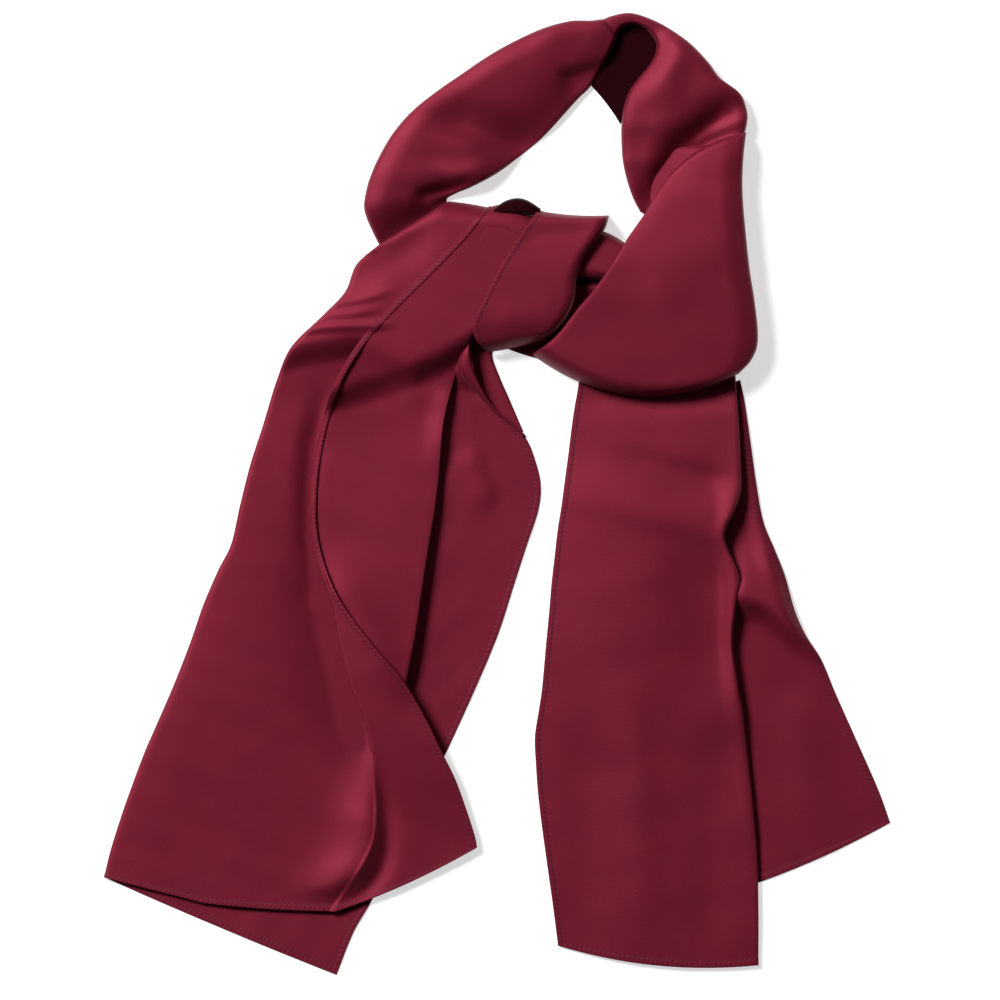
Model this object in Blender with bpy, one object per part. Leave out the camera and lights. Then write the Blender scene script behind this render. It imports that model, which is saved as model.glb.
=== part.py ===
"""Silk scarf lying on a flat surface, tied once in a loose half knot.

One long panel of silk, cut 450 by 1800 mm, with a narrow hem all round. It lies in a
loop, crosses in the knot and ends in two folded tails. Each stretch that shows is one
wall of cloth, and the layers hidden inside a stretch are one rounded filling. Sizes are
in millimetres here and in metres in Blender. X runs to the right, Y from the tails to
the loop and Z up.
"""

import math

import bmesh
import bpy
import numpy as np

# The cloth
WALL = 1.2
LAYER = 2.2
GAP = 0.4
HEM_THICKER = 1.3

# How finely a stretch is divided
ROW_STEP = 12.0
ROLL_POINTS = 4
END_POINTS = 3

# How far a stretch rolls over where it bends down
SIDE_ROLL = 8.0
FLOOR = WALL / 2

# The silk: colour, roughness, metallic
BURGUNDY = (0.19, 0.022, 0.045, 1.0)
SATIN_ROUGHNESS = 0.42
SATIN_METALLIC = 0.0


def table(columns, *rows):
    """A table with named columns and one row per section or fold."""
    values = np.array(rows, float)
    return {name: values[:, i] for i, name in enumerate(columns.split())}


# Sections across each stretch, from its head to its end. height is that of the cloth
# above the floor, curl how far in degrees a side turns down and under, and bow how far
# the section bends out of its straight line.

LOOP_LEFT = table(
    "left_x left_y right_x right_y height curl_left curl_right bow",
    (-83.2, 174.8, -36.2, 204.8, 13, 90, 90, 0),
    (-93, 197, -30, 210, 14.5, 140, 130, 0),
    (-92, 211, -20, 214, 16, 165, 150, 0),
    (-88, 224, -7, 220.5, 17, 165, 160, 0),
    (-82, 237, 4, 227.5, 17, 165, 165, 0),
    (-73, 252, 18, 238.5, 17, 165, 165, 0),
    (-61, 266, 29, 247.5, 17, 165, 165, 0),
    (-46, 278.5, 38, 256.5, 17, 165, 165, 0),
    (-26, 292.5, 47, 266.5, 17, 165, 165, 0),
    (-1, 309, 56, 276.5, 18, 165, 150, 0),
    (28, 323.5, 64.5, 285, 17, 165, 110, 0),
    (50, 330, 71.5, 297, 15, 150, 90, 0),
    (65, 330.5, 77.5, 308, 13, 120, 90, 0),
    (71.5, 331, 82, 318.5, 11, 100, 80, 0),
)

LOOP_CROWN = table(
    "left_x left_y right_x right_y height curl_left curl_right bow",
    (72.5, 332, 83, 321, 9, 90, 60, 0),
    (80, 334.5, 87, 326, 9, 90, 70, 0),
    (92, 336.7, 95, 328, 9, 90, 80, 0),
    (105, 333, 103, 325, 11, 90, 80, 0),
    (118, 326, 109, 319, 14, 110, 80, 0),
    (134, 314.5, 111, 311, 17, 150, 80, 0),
    (147, 300.7, 107, 301, 19, 165, 80, 0),
    (155, 290, 99, 291, 19, 165, 80, 0),
    (168.5, 280, 92, 281, 19, 165, 100, 0),
    (173, 270, 88, 269, 19, 165, 130, 0),
    (174, 261, 86.5, 257, 19, 165, 160, 0),
    (171.5, 254.6, 86.5, 248, 18, 110, 160, 0),
    (156, 249.4, 86.8, 240, 17, 80, 160, 0),
    (140, 242.3, 87.6, 232, 17, 70, 160, 0),
    (127.7, 233.8, 89.2, 224, 16, 70, 150, 0),
    (117, 221.5, 92, 214, 15, 70, 140, 0),
    (109.5, 209.5, 95.5, 205, 14, 70, 120, 0),
    (106, 203.5, 97.8, 200, 9, 60, 90, 0),
)

# The floor of the hollow between the end of the loop's left side and the crown.
LOOP_LINING = table(
    "left_x left_y right_x right_y height curl_left curl_right bow",
    (65.4, 285, 85.8, 258, 0.6, 0, 0, 1),
    (68.5, 290, 87.4, 270, 0.6, 0, 0, 0),
    (72.5, 297, 91.2, 281, 0.6, 0, 0, 0),
    (75.5, 302.5, 98.2, 291, 0.6, 0, 0, 0),
    (79, 309, 106.2, 301, 0.6, 0, 0, 0),
    (82, 315, 110.2, 311, 0.6, 0, 0, 0),
    (84.5, 320, 108.2, 318.5, 0.6, 0, 0, 0),
    (88, 324.8, 102.2, 324.3, 0.6, 0, 0, 0),
)

LOOP_RIGHT = table(
    "left_x left_y right_x right_y height curl_left curl_right bow",
    (103, 192, 173, 252, 21, 80, 80, 13),
    (94.5, 183.5, 171, 234, 24, 90, 110, 9),
    (87, 172, 170.5, 210, 26, 95, 150, 5),
    (80, 160, 172.5, 184, 27, 100, 165, 2),
    (71, 147, 175.5, 156, 27, 100, 165, 0),
    (64, 138, 178.5, 137, 27, 95, 165, -2),
    (56, 129, 181, 116, 26, 90, 165, -5),
    (49, 120, 180.8, 103, 25, 90, 150, -9),
    (42, 113, 176.5, 93, 24, 90, 120, -13),
    (28, 101, 172, 88, 22, 90, 100, -18),
    (18, 99, 168, 84, 20, 60, 90, -20),
)

KNOT_BAND = table(
    "left_x left_y right_x right_y height curl_left curl_right bow",
    (27.5, 197.8, 77.5, 194.5, 24, 0, 70, -1.6),
    (17, 181, 75, 186, 25, 0, 90, 1),
    (9, 169, 69, 177, 25, 0, 100, 0),
    (1, 156, 62, 167, 25.5, 0, 110, 0),
    (-6, 142, 55.5, 152, 25.5, 0, 110, 0),
    (-13, 128, 53.5, 136, 25, 0, 110, -1),
    (-17, 117, 48, 123.5, 24, 0, 100, -1),
    (-15.5, 107, 41, 115, 22, 0, 90, 0),
    (-7, 99, 33, 108, 19, 0, 80, -1),
)

KNOT_STRAND = table(
    "left_x left_y right_x right_y height curl_left curl_right bow",
    (77, 181.7, 87.4, 174.8, 14, 0, 0, 1.5),
    (71, 177.5, 83.2, 167.5, 15, 0, 0, 0),
    (65.5, 169, 78, 159, 15, 0, 0, 0),
    (58.5, 153, 73, 151, 15, 0, 0, 0),
    (57, 146, 69.5, 146, 13, 0, 0, 0),
    (55.5, 136, 61.5, 137, 12, 0, 0, 0),
    (54, 129, 55.5, 129, 12, 0, 0, 0),
)

RIGHT_TAIL_FRONT = table(
    "left_x left_y right_x right_y height curl_left curl_right bow",
    (56.3, 76.5, 166, 81.5, 8, 60, 90, -9.5),
    (52.5, 54, 168, 51, 8, 60, 130, -4),
    (49, 26, 169.3, 23, 8, 60, 150, 0),
    (46.3, 6, 169.5, 2, 7.5, 60, 150, 0),
    (44.2, -10, 165, -12, 7.5, 60, 150, 0),
    (42.2, -22, 160, -22, 7, 60, 150, 0),
    (41, -31, 158, -30, 7, 60, 150, 0),
    (39.8, -42, 161, -40, 7, 60, 150, 0),
    (38.5, -53, 167, -52, 7, 60, 150, 0),
    (37.3, -64, 169.3, -61, 7, 60, 150, 0),
    (36, -80, 167, -76, 7, 60, 150, 0),
    (33.6, -105, 164, -103, 6.5, 60, 150, 0),
    (30.7, -137, 168, -134, 6, 60, 150, 0),
    (28.3, -153, 171, -152, 6, 60, 150, 0),
    (25.8, -170, 173, -168, 6, 60, 150, 0),
    (26.4, -188, 175, -187, 6, 60, 150, 0),
    (28.5, -215, 178, -215, 6, 60, 150, 0),
    (33, -250, 181, -250, 6, 60, 150, 0),
    (38.2, -287, 182, -290, 5.5, 60, 150, -2),
    (42, -316.5, 182, -330, 5, 60, 120, -7),
)

RIGHT_TAIL_BACK = table(
    "left_x left_y right_x right_y height curl_left curl_right bow",
    (95, 55, 169.5, 79.5, 0.6, 0, 0, 0),
    (90, 45, 172.5, 65, 0.6, 0, 0, 0),
    (80, 25, 176.5, 37, 0.6, 0, 0, 0),
    (70, -10, 181.3, 3, 0.6, 0, 0, 0),
    (62, -35, 186, -21, 0.6, 0, 0, 0),
    (58, -50, 193, -38, 0.6, 0, 0, 0),
    (55, -68, 200.5, -57, 0.6, 0, 0, 0),
    (52, -90, 207.5, -82, 0.6, 0, 0, 0),
    (50, -108, 215, -99, 0.6, 0, 0, 0),
    (46, -128, 226, -116, 0.6, 0, 0, 0),
    (43, -155, 236.3, -140, 0.6, 0, 0, 0),
    (42, -190, 251, -173, 0.6, 0, 0, 0),
    (46, -240, 266, -207, 0.6, 0, 0, 0),
    (58, -302, 274.5, -230.5, 0.6, 0, 0, -11),
)

LEFT_TAIL_BACK = table(
    "left_x left_y right_x right_y height curl_left curl_right bow",
    (-96, 110, -20, 112, 0.6, 0, 0, 0),
    (-130, 92, -19, 98, 0.6, 0, 0, 0),
    (-140, 70, -14, 78, 0.6, 0, 0, 0),
    (-150, 48, -4, 62, 0.6, 0, 0, 0),
    (-158, 30, 8, 50, 0.6, 0, 0, 0),
    (-164, 12, 20, 38, 0.6, 0, 0, 0),
    (-168, 0, 26.5, 22, 0.6, 0, 0, 0),
    (-171, -15, 30, 6, 0.6, 0, 0, 0),
    (-176, -32, 28.5, -11, 0.6, 0, 0, 0),
    (-184, -52, 20, -37, 0.6, 0, 0, 0),
    (-193, -75, 11, -65, 0.6, 0, 0, 0),
    (-204, -105, 0, -99, 0.6, 0, 0, 0),
    (-218, -138, -16, -137, 0.6, 0, 0, 0),
    (-234, -175, -36.5, -182, 0.6, 0, 0, 0),
    (-247, -210, -60, -232, 0.6, 0, 0, 0),
    (-259, -242, -90, -288, 0.6, 0, 0, 0),
    (-264, -256, -101, -307, 0.6, 0, 0, 0),
    (-272.5, -270, -113, -337, 0.6, 0, 0, -1),
)

KNOT_LOWER_STRAND = table(
    "left_x left_y right_x right_y height curl_left curl_right bow",
    (-21, 99, -4, 97, 0.6, 0, 0, 0),
    (-18, 83, 1, 82, 0.6, 0, 0, 0),
    (-9, 66, 8, 66, 0.6, 0, 0, 0),
    (4, 52, 14, 52, 0.6, 0, 0, 0),
    (15, 43.5, 18, 43, 0.6, 0, 0, 0),
)

# The left tail's front is pleated: it runs from its left side past its middle to the
# turn, back over itself to the crease, and from there to its hem. closed says how far
# the pleat is shut, thick how far its layers lie apart, and hump how far its upper
# layer stands out of a straight line.
LEFT_TAIL_FRONT = table(
    "side_x side_y mid_x mid_y turn_x turn_y crease_x crease_y hem_x hem_y"
    " closed thick curl hump",
    (-83.5, 173.3, -34.5, 204.3, 30, 188, -10, 198.5, -3, 198.5, 1, 1.7, 90, 9),
    (-99, 160, -46, 180, 19, 171, -27, 178, -21, 173, 1, 1.5, 150, 3),
    (-107, 141, -51, 152, 4, 150, -54, 151, -49, 147, 1, 1.3, 165, 0),
    (-123, 124, -66, 131, -9, 131, -78, 127, -73, 123.5, 1, 1.5, 165, 0),
    (-145, 102, -83, 105, -22, 109, -98, 104, -92.8, 101, 1, 1.6, 165, 0),
    (-155, 79, -92, 83, -29, 86, -113, 79, -108, 77, 1, 1.4, 165, 0),
    (-164.5, 48, -101, 50, -38, 51, -123, 49, -119, 49, 1, 1, 165, 0),
    (-173.5, 20, -107, 20, -41, 20, -129, 18, -125, 18, 1, 1, 165, 0),
    (-181, -10, -112, -9, -44, -8, -131, -12, -127, -12, 1, 1, 165, 0),
    (-187, -36, -117, -34, -48, -32, -129, -34, -125, -34, 1, 1, 165, 0),
    (-196, -54, -124, -53, -51, -52, -123, -56, -119, -57, 1, 1, 165, 0),
    (-206.3, -78, -130, -76, -54, -73, -116, -77, -109, -78, 1, 1, 165, 0),
    (-215.3, -104, -137, -102, -58, -100, -111, -102, -91, -102, 1, 1, 165, 0),
    (-227, -134, -146, -132, -64, -130, -103, -134, -66, -131, 1, 1, 165, 0),
    (-240, -164, -154, -162, -71, -160, -92, -163, -48, -162, 1, 1.3, 165, 0),
    (-247, -180, -159, -178, -77, -177, -90, -179, -41, -177, 0.92, 1.5, 165, 0),
    (-255, -201, -166, -201, -85, -200, -88, -200, -30, -199, 0.6, 1.4, 165, 0),
    (-262.5, -222, -173, -224, -90, -220, -82, -220, -22, -221, 0.3, 1.2, 160, 0),
    (-270.5, -247, -184, -255, -98, -249, -82, -247, -16.5, -238, 0.2, 0.9, 150, 0),
    (-276, -268.5, -206, -286.5, -128, -293, -106, -292, -14.5, -247.5, 0.15, 0.5, 60, -3.3),
)

# Ridges and valleys: a soft line from one point to another, as wide as its spread.
FOLD = "from_x from_y to_x to_y spread height"

LEFT_TAIL_FOLDS = table(
    FOLD,
    (-132, 132, -84, 136, 3.0, 1.3),
    (-138, 121, -92, 126, 2.8, 1.3),
    (-150, 113, -100, 115, 4.0, 1.6),
    (-140, 98, -96, 103, 10.0, -2.6),
    (-106, 70, -62, 82, 9.0, -3.0),
    (-62, 82, -34, 98, 8.0, -3.0),
    (-95, 160, -60, 175, 12.0, -1.5),
    (-137, 50, -139, -40, 9.0, -1.2),
    (-100, -50, -80, -105, 9.0, -1.2),
    (-88, -226, -81, -245, 9.0, 3.0),
    (-84, -262, -104, -282, 9.0, 3.0),
    (-120, -262, -100, -250, 20.0, 2.0),
    (-72, -236, -70, -262, 8.0, -1.0),
)

LEFT_BACK_FOLDS = table(
    FOLD,
    (-16, 104, -6, 66, 7.0, 7.0),
    (-6, 66, 12, 46, 6.0, 3.0),
    (-24, 30, 24, 4, 9.0, 1.5),
)

LOOP_LEFT_FOLDS = table(
    FOLD,
    (-42, 270, 10, 262, 9.0, -2.0),
    (10, 262, 52, 290, 11.0, -3.5),
    (-60, 196, -30, 213, 8.0, -4.0),
    (10, 300, 60, 318, 12.0, 1.5),
    (-60, 240, 10, 245, 10.0, 1.2),
)

LOOP_CROWN_FOLDS = table(
    FOLD,
    (167, 277, 140, 264, 6.0, -4.5),
    (140, 264, 122, 246, 8.0, -4.0),
    (172, 264, 150, 256, 4.0, 2.5),
    (125, 312, 112, 270, 12.0, 2.0),
    (97, 262, 98, 215, 9.0, -2.0),
)

LOOP_RIGHT_FOLDS = table(
    FOLD,
    (110, 150, 165, 175, 22.0, 1.5),
    (60, 104, 150, 95, 12.0, 1.5),
    (120, 220, 160, 235, 8.0, 1.0),
)

BAND_FOLDS = table(
    FOLD,
    (0, 120, 45, 128, 14.0, 1.5),
    (22, 180, 6, 150, 6.0, 1.0),
)

STRAND_FOLDS = table(
    FOLD,
    (50, 149.5, 80, 149.5, 1.8, -7.0),
)

RIGHT_FRONT_FOLDS = table(
    FOLD,
    (60, 68, 160, 70, 9.0, -3.0),
    (168, 50, 166, 8, 5.0, 2.0),
    (120, 33, 162, 30, 8.0, 1.2),
    (105, 14, 160, 9, 6.0, -1.0),
    (95, 0, 160, -2, 8.0, -1.2),
    (60, -12, 120, -36, 10.0, -2.4),
    (115, -28, 156, -22, 8.0, 1.8),
    (112, -50, 148, -72, 12.0, -2.2),
    (130, -84, 158, -128, 10.0, -2.0),
    (90, -60, 120, -120, 14.0, 1.2),
    (165, -58, 163, -110, 5.0, 1.8),
    (62, -180, 60, -300, 14.0, -1.0),
    (95, -160, 98, -310, 16.0, 1.2),
    (150, -170, 150, -300, 14.0, -0.8),
)

RIGHT_BACK_FOLDS = table(
    FOLD,
    (188, -62, 206, -66, 8.0, 4.5),
    (172, -88, 215, -96, 8.0, 1.0),
    (175, -22, 188, -30, 7.0, 2.5),
    (200, -128, 228, -124, 10.0, 2.0),
)


NO_FOLDS = table(FOLD, (0, 0, 1, 0, 1.0, 0.0))


def smooth(t):
    t = np.clip(t, 0.0, 1.0)
    return t * t * (3 - 2 * t)


def relief(x, y, folds):
    """Height that the ridges and valleys add at a point."""
    total = 0.0
    for ax, ay, bx, by, spread, height in zip(*(folds[n] for n in FOLD.split())):
        run = max((bx - ax) ** 2 + (by - ay) ** 2, 1e-9)
        t = min(max(((x - ax) * (bx - ax) + (y - ay) * (by - ay)) / run, 0.0), 1.0)
        away = math.hypot(x - ax - t * (bx - ax), y - ay - t * (by - ay))
        total += height * math.exp(-((away / spread) ** 2))
    return total


def pile(x, y):
    """Height of the left tail's front above the floor: high in the knot, low below."""
    start = 92 - 0.17 * (x + 60) if x < -60 else 92 + 0.12 * (x + 60)
    top = 15 + 5 * smooth((x + 110) / 110)
    low = 2.8 + 2.6 * smooth((y + 60) / 130)
    return low + (top - low) * smooth((y - start + 10) / 34)


def blend(sections, at):
    """A section's values at a distance along its stretch, on a smooth curve."""
    place = sections["place"]
    i = int(np.clip(np.searchsorted(place, at) - 1, 0, len(place) - 2))
    width = place[i + 1] - place[i]
    t = (at - place[i]) / width
    found = {}
    for name, column in sections.items():
        before = column[max(i - 1, 0)]
        after = column[min(i + 2, len(column) - 1)]
        span_in = place[i + 1] - place[max(i - 1, 0)]
        span_out = place[min(i + 2, len(place) - 1)] - place[i]
        start = (column[i + 1] - before) / span_in * width
        end = (after - column[i]) / span_out * width
        found[name] = (
            column[i] * (2 * t**3 - 3 * t**2 + 1)
            + start * (t**3 - 2 * t**2 + t)
            + column[i + 1] * (3 * t**2 - 2 * t**3)
            + end * (t**3 - t**2)
        )
    return found


def placed(sections, first, last):
    """The table with each section's distance from the head, along its middle."""
    middle = [(sections[first + n] + sections[last + n]) / 2 for n in ("_x", "_y")]
    steps = np.hypot(*np.diff(np.stack(middle, 1), axis=0).T)
    return {**sections, "place": np.concatenate([[0.0], np.cumsum(steps)])}


def rows_along(length, step, head, end):
    """Distances along a stretch with how far each lies down: 0 on the floor, 1 on top."""
    turns = [math.pi / 2 * i / END_POINTS for i in range(END_POINTS)]
    over = [(1 - math.cos(a), math.sin(a)) for a in turns]
    rows = [(head * d, up) for d, up in over] if head else []
    count = max(int(round((length - head - end) / step)), 1)
    rows += [(head + (length - head - end) * i / count, 1.0) for i in range(count + 1)]
    if end:
        rows += [(length - end * d, up) for d, up in over[::-1]]
    return rows


def side_roll(radius, curl):
    """Steps over a rolled side, from under it to its top: distance in, part of height."""
    turned = math.radians(max(curl, 30.0))
    share = smooth(curl / 45.0)
    outer = math.sin(min(turned, math.pi / 2))
    low = math.cos(turned)
    angles = [turned * (1 - i / ROLL_POINTS) for i in range(ROLL_POINTS)]
    return [
        (radius * (outer - math.sin(a)), 1 - share * (1 - math.cos(a)) / (1 - low))
        for a in angles
    ]


def curl_at(curl, up):
    """A side's curl where its stretch bends down: there it no longer turns under."""
    return min(curl, 90.0) + max(curl - 90.0, 0.0) * smooth((up - 0.6) / 0.4)


def lay(sections, columns, folds, head=0.0, end=0.0, feet=(FLOOR, FLOOR), roll=SIDE_ROLL):
    """Points of a stretch of cloth, row by row: rolled sides, flat part between them."""
    sections = placed(sections, "left", "right")
    grid = []
    for at, up in rows_along(sections["place"][-1], ROW_STEP, head, end):
        s = blend(sections, at)
        left = np.array([s["left_x"], s["left_y"]])
        across = np.array([s["right_x"], s["right_y"]]) - left
        width = float(np.hypot(*across))
        along = across / width
        out = np.array([-along[1], along[0]])
        radius = min(roll, 0.55 * s["height"], 0.3 * width)
        rolls = [
            side_roll(radius, curl_at(s[c], up)) if sections[c].max() > 0 else []
            for c in ("curl_left", "curl_right")
        ]
        outer = [WALL / 2 if r and r[0][1] < 0.5 else 0.0 for r in rolls]
        path = [(outer[0] + d, part) for d, part in rolls[0]]
        first = path[-1][0] + 0.25 * radius if path else 0.0
        back = [(width - outer[1] - d, part) for d, part in rolls[1][::-1]]
        last = back[0][0] - 0.25 * radius if back else width
        path += [(first + (last - first) * i / columns, 1.0) for i in range(columns + 1)]
        path += back
        row = []
        for d, part in path:
            v = d / width
            x, y = left + along * d + out * s["bow"] * 4 * v * (1 - v)
            foot = feet[0] + (feet[1] - feet[0]) * v
            top = max(s["height"] + relief(x, y, folds), foot)
            row.append((x, y, foot + (top - foot) * part * up))
        grid.append(row)
    return np.array(grid)


def pleat_of(closed, tall, leg):
    """The pleat's S in section, from its lower to its upper layer: along, up."""
    turned = math.pi * min(max(closed, 0.12), 1.0)
    if closed < 0.99:
        leg = 0.3 * tall / math.sin(turned)
    radius = (tall - leg * math.sin(turned)) / (2 * (1 - math.cos(turned)))
    if closed >= 0.99:
        leg = max(leg - 2 * radius, 0.5)
    ahead = np.array([math.cos(turned), math.sin(turned)])
    half = [ahead * leg * t for t in (0.1, 0.3, 0.5)]
    centre = half[-1] + radius * np.array([math.sin(turned), -math.cos(turned)])
    for part in (0.84, 0.5, 0.16):
        a = turned * part
        half.append(centre + radius * np.array([-math.sin(a), math.cos(a)]))
    whole = [-p for p in half[::-1]] + half
    return [(p[0], p[1] + tall / 2) for p in whole]


def lay_left_front():
    """Points of the left tail's front, with its pleat folded as far as it is closed."""
    sections = placed(LEFT_TAIL_FRONT, "side", "turn")
    grid = []
    for at, up in rows_along(sections["place"][-1], 14.0, 9.0, 0.0):
        s = blend(sections, at)
        side, mid, turn, crease, hem = (
            np.array([s[n + "_x"], s[n + "_y"]])
            for n in ("side", "mid", "turn", "crease", "hem")
        )
        inward = (mid - side) / np.hypot(*(mid - side))
        onward = (turn - mid) / np.hypot(*(turn - mid))
        swell = np.array([-onward[1], onward[0]]) * s["hump"]
        radius = min(SIDE_ROLL, 0.55 * pile(*(side + inward * 8)))
        path = []
        for d, part in side_roll(radius, curl_at(s["curl"], up)):
            path.append((side + inward * (d + WALL / 2), part, 0.0))
        start = side + inward * (radius + WALL / 2)
        path += [(start + (mid - start) * i / 5, 1.0, 0.0) for i in range(5)]
        leg = float(np.dot(turn - crease, onward))
        line = (turn - crease) / leg if leg > 5 else onward
        leg = max(leg, 1.0)
        pleat = pleat_of(s["closed"], 2 * LAYER * s["thick"], leg)
        folded = []
        for over, rise in pleat:
            v = min(max(0.5 - over / leg, 0.0), 1.0) if s["hump"] > 0 else 0.0
            place = (turn + crease) / 2 + line * over + swell * 4 * v * (1 - v)
            folded.append((place, 1.0, rise))
        bottom, top = folded[0][0], folded[-1][0]
        for i in range(6):
            v = i / 6
            path.append((mid + (bottom - mid) * v + swell * 1.4 * v * (1 - v), 1.0, 0.0))
        path += folded
        short = float(np.hypot(*(hem - top))) < 0.5 * leg
        for i in range(1, 6):
            v = i / 5
            place = top + (hem - top) * v
            if s["hump"] < 0:
                place = place + swell * 4 * v * (1 - v)
            elif short:
                over = pleat[-1][0] + float(np.hypot(*(hem - top))) * v
                back = 0.5 - over / leg
                place = (turn + crease) / 2 + line * over + swell * 4 * back * (1 - back)
            path.append((place, 1.0, pleat[-1][1]))
        nest = np.array([-onward[1], onward[0]]) * math.sqrt(1 - up * up)
        row = []
        for place, part, rise in path:
            x, y = place + nest * rise
            height = max(pile(x, y) + relief(x, y, LEFT_TAIL_FOLDS) * part, 2.6)
            row.append((x, y, FLOOR + (height - FLOOR) * part * up + rise * up))
        grid.append(row)
    return np.array(grid)


def normals_of(grid):
    """The direction across the cloth at each point, up where the cloth lies flat."""
    down = np.gradient(grid, axis=0)
    over = np.gradient(grid, axis=1)
    normal = np.cross(down, over)
    normal /= np.maximum(np.linalg.norm(normal, axis=2, keepdims=True), 1e-9)
    return normal if normal[..., 2].mean() > 0 else -normal


def silk(name):
    material = bpy.data.materials.new(name)
    material.use_nodes = True
    shader = material.node_tree.nodes["Principled BSDF"]
    shader.inputs["Base Color"].default_value = BURGUNDY
    shader.inputs["Roughness"].default_value = SATIN_ROUGHNESS
    shader.inputs["Metallic"].default_value = SATIN_METALLIC
    material.diffuse_color = BURGUNDY
    return material


def solid(name, upper, lower):
    """A closed body between two grids of the same size, joined along their rims."""
    rows, columns = upper.shape[:2]
    mesh = bmesh.new()
    top = [[mesh.verts.new(p * 0.001) for p in row] for row in upper]
    base = [[mesh.verts.new(p * 0.001) for p in row] for row in lower]
    for i in range(rows - 1):
        for j in range(columns - 1):
            mesh.faces.new((top[i][j], top[i + 1][j], top[i + 1][j + 1], top[i][j + 1]))
            mesh.faces.new((base[i][j], base[i][j + 1], base[i + 1][j + 1], base[i + 1][j]))
    rim = [(i, 0) for i in range(rows)]
    rim += [(rows - 1, j) for j in range(1, columns)]
    rim += [(i, columns - 1) for i in range(rows - 2, -1, -1)]
    rim += [(0, j) for j in range(columns - 2, 0, -1)]
    for (i, j), (k, m) in zip(rim, rim[1:] + rim[:1]):
        mesh.faces.new((top[i][j], base[i][j], base[k][m], top[k][m]))
    bmesh.ops.recalc_face_normals(mesh, faces=mesh.faces)
    data = bpy.data.meshes.new(name)
    mesh.to_mesh(data)
    mesh.free()
    for face in data.polygons:
        face.use_smooth = True
    thing = bpy.data.objects.new(name, data)
    bpy.context.scene.collection.objects.link(thing)
    data.materials.append(silk(name + "_silk"))
    return thing


def cloth(name, grid, hems=""):
    """A wall of cloth about a grid of points, a little thicker along its hems."""
    normal = normals_of(grid)
    half = np.full(grid.shape[:2] + (1,), WALL / 2)
    if "left" in hems:
        half[:, 0] *= HEM_THICKER
    if "right" in hems:
        half[:, -1] *= HEM_THICKER
    if "end" in hems:
        half[-1, :] *= HEM_THICKER
    upper = grid + normal * half
    lower = grid - normal * half
    upper[..., 2] = np.maximum(upper[..., 2], 0.0)
    lower[..., 2] = np.maximum(lower[..., 2], 0.0)
    return solid(name, upper, lower)


def filling(name, grid, rows, columns, base=0.0, room=GAP):
    """The hidden layers under part of a stretch, as one body with rounded edges."""
    part = (slice(*rows), slice(*columns))
    upper = (grid - normals_of(grid) * (WALL / 2 + room))[part].copy()
    tall, wide = upper.shape[:2]
    for depth, drop in ((0, 3.0), (1, 0.7)):
        ring = np.zeros((tall, wide), bool)
        ring[depth : tall - depth, depth : wide - depth] = True
        ring[depth + 1 : tall - depth - 1, depth + 1 : wide - depth - 1] = False
        upper[ring, 2] -= drop
    upper[..., 2] = np.maximum(upper[..., 2], base + 0.6)
    lower = upper.copy()
    lower[..., 2] = base
    return solid(name, upper, lower)


def main():
    for thing in list(bpy.data.objects):
        bpy.data.objects.remove(thing, do_unlink=True)

    left_front = lay_left_front()
    cloth("left_tail_front", left_front, "right end")
    left_back = lay(LEFT_TAIL_BACK, 10, LEFT_BACK_FOLDS)
    cloth("left_tail_back", left_back, "right end")
    filling("left_tail_filling", left_front, (2, 8), (6, 14))

    over_tail = FLOOR + 2 * LAYER
    band = lay(KNOT_BAND, 8, BAND_FOLDS, head=9.0, end=9.0, feet=(over_tail, FLOOR))
    cloth("knot_band", band, "left")
    filling("knot_filling", band, (2, -2), (2, -6))
    cloth("knot_strand", lay(KNOT_STRAND, 3, STRAND_FOLDS, head=5.0))
    cloth("knot_lower_strand", lay(KNOT_LOWER_STRAND, 2, NO_FOLDS))

    arm = lay(LOOP_LEFT, 8, LOOP_LEFT_FOLDS)
    cloth("loop_left", arm)
    filling("loop_left_filling", arm, (0, -3), (6, -6))
    crown = lay(LOOP_CROWN, 8, LOOP_CROWN_FOLDS)
    cloth("loop_crown", crown)
    filling("loop_crown_filling", crown, (8, -2), (6, -6))
    cloth("loop_lining", lay(LOOP_LINING, 3, NO_FOLDS))
    lower = lay(LOOP_RIGHT, 10, LOOP_RIGHT_FOLDS, head=9.0, end=12.0)
    cloth("loop_right", lower)
    filling("loop_right_filling", lower, (2, -2), (6, -6))

    front = lay(RIGHT_TAIL_FRONT, 14, RIGHT_FRONT_FOLDS, feet=(FLOOR, 2.6), roll=4.0)
    cloth("right_tail_front", front, "left end")
    filling("right_tail_filling", front, (1, -1, 2), (5, -4, 2), base=1.7, room=1.7)
    cloth("right_tail_back", lay(RIGHT_TAIL_BACK, 10, RIGHT_BACK_FOLDS), "right end")


main()
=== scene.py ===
"""Silk scarf in burgundy satin, tied once in a loose half knot and laid flat.

Every stretch of the scarf is a thin shell of cloth over its solid: rows of points across
the stretch, worked out from a short table of sections, with soft ridges and valleys, a
rolled hem and its stitches. Sizes in the tables are in millimetres, X to the right, Y from
the tails to the loop and Z up from the surface that the scarf lies on.
"""

import math

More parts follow.
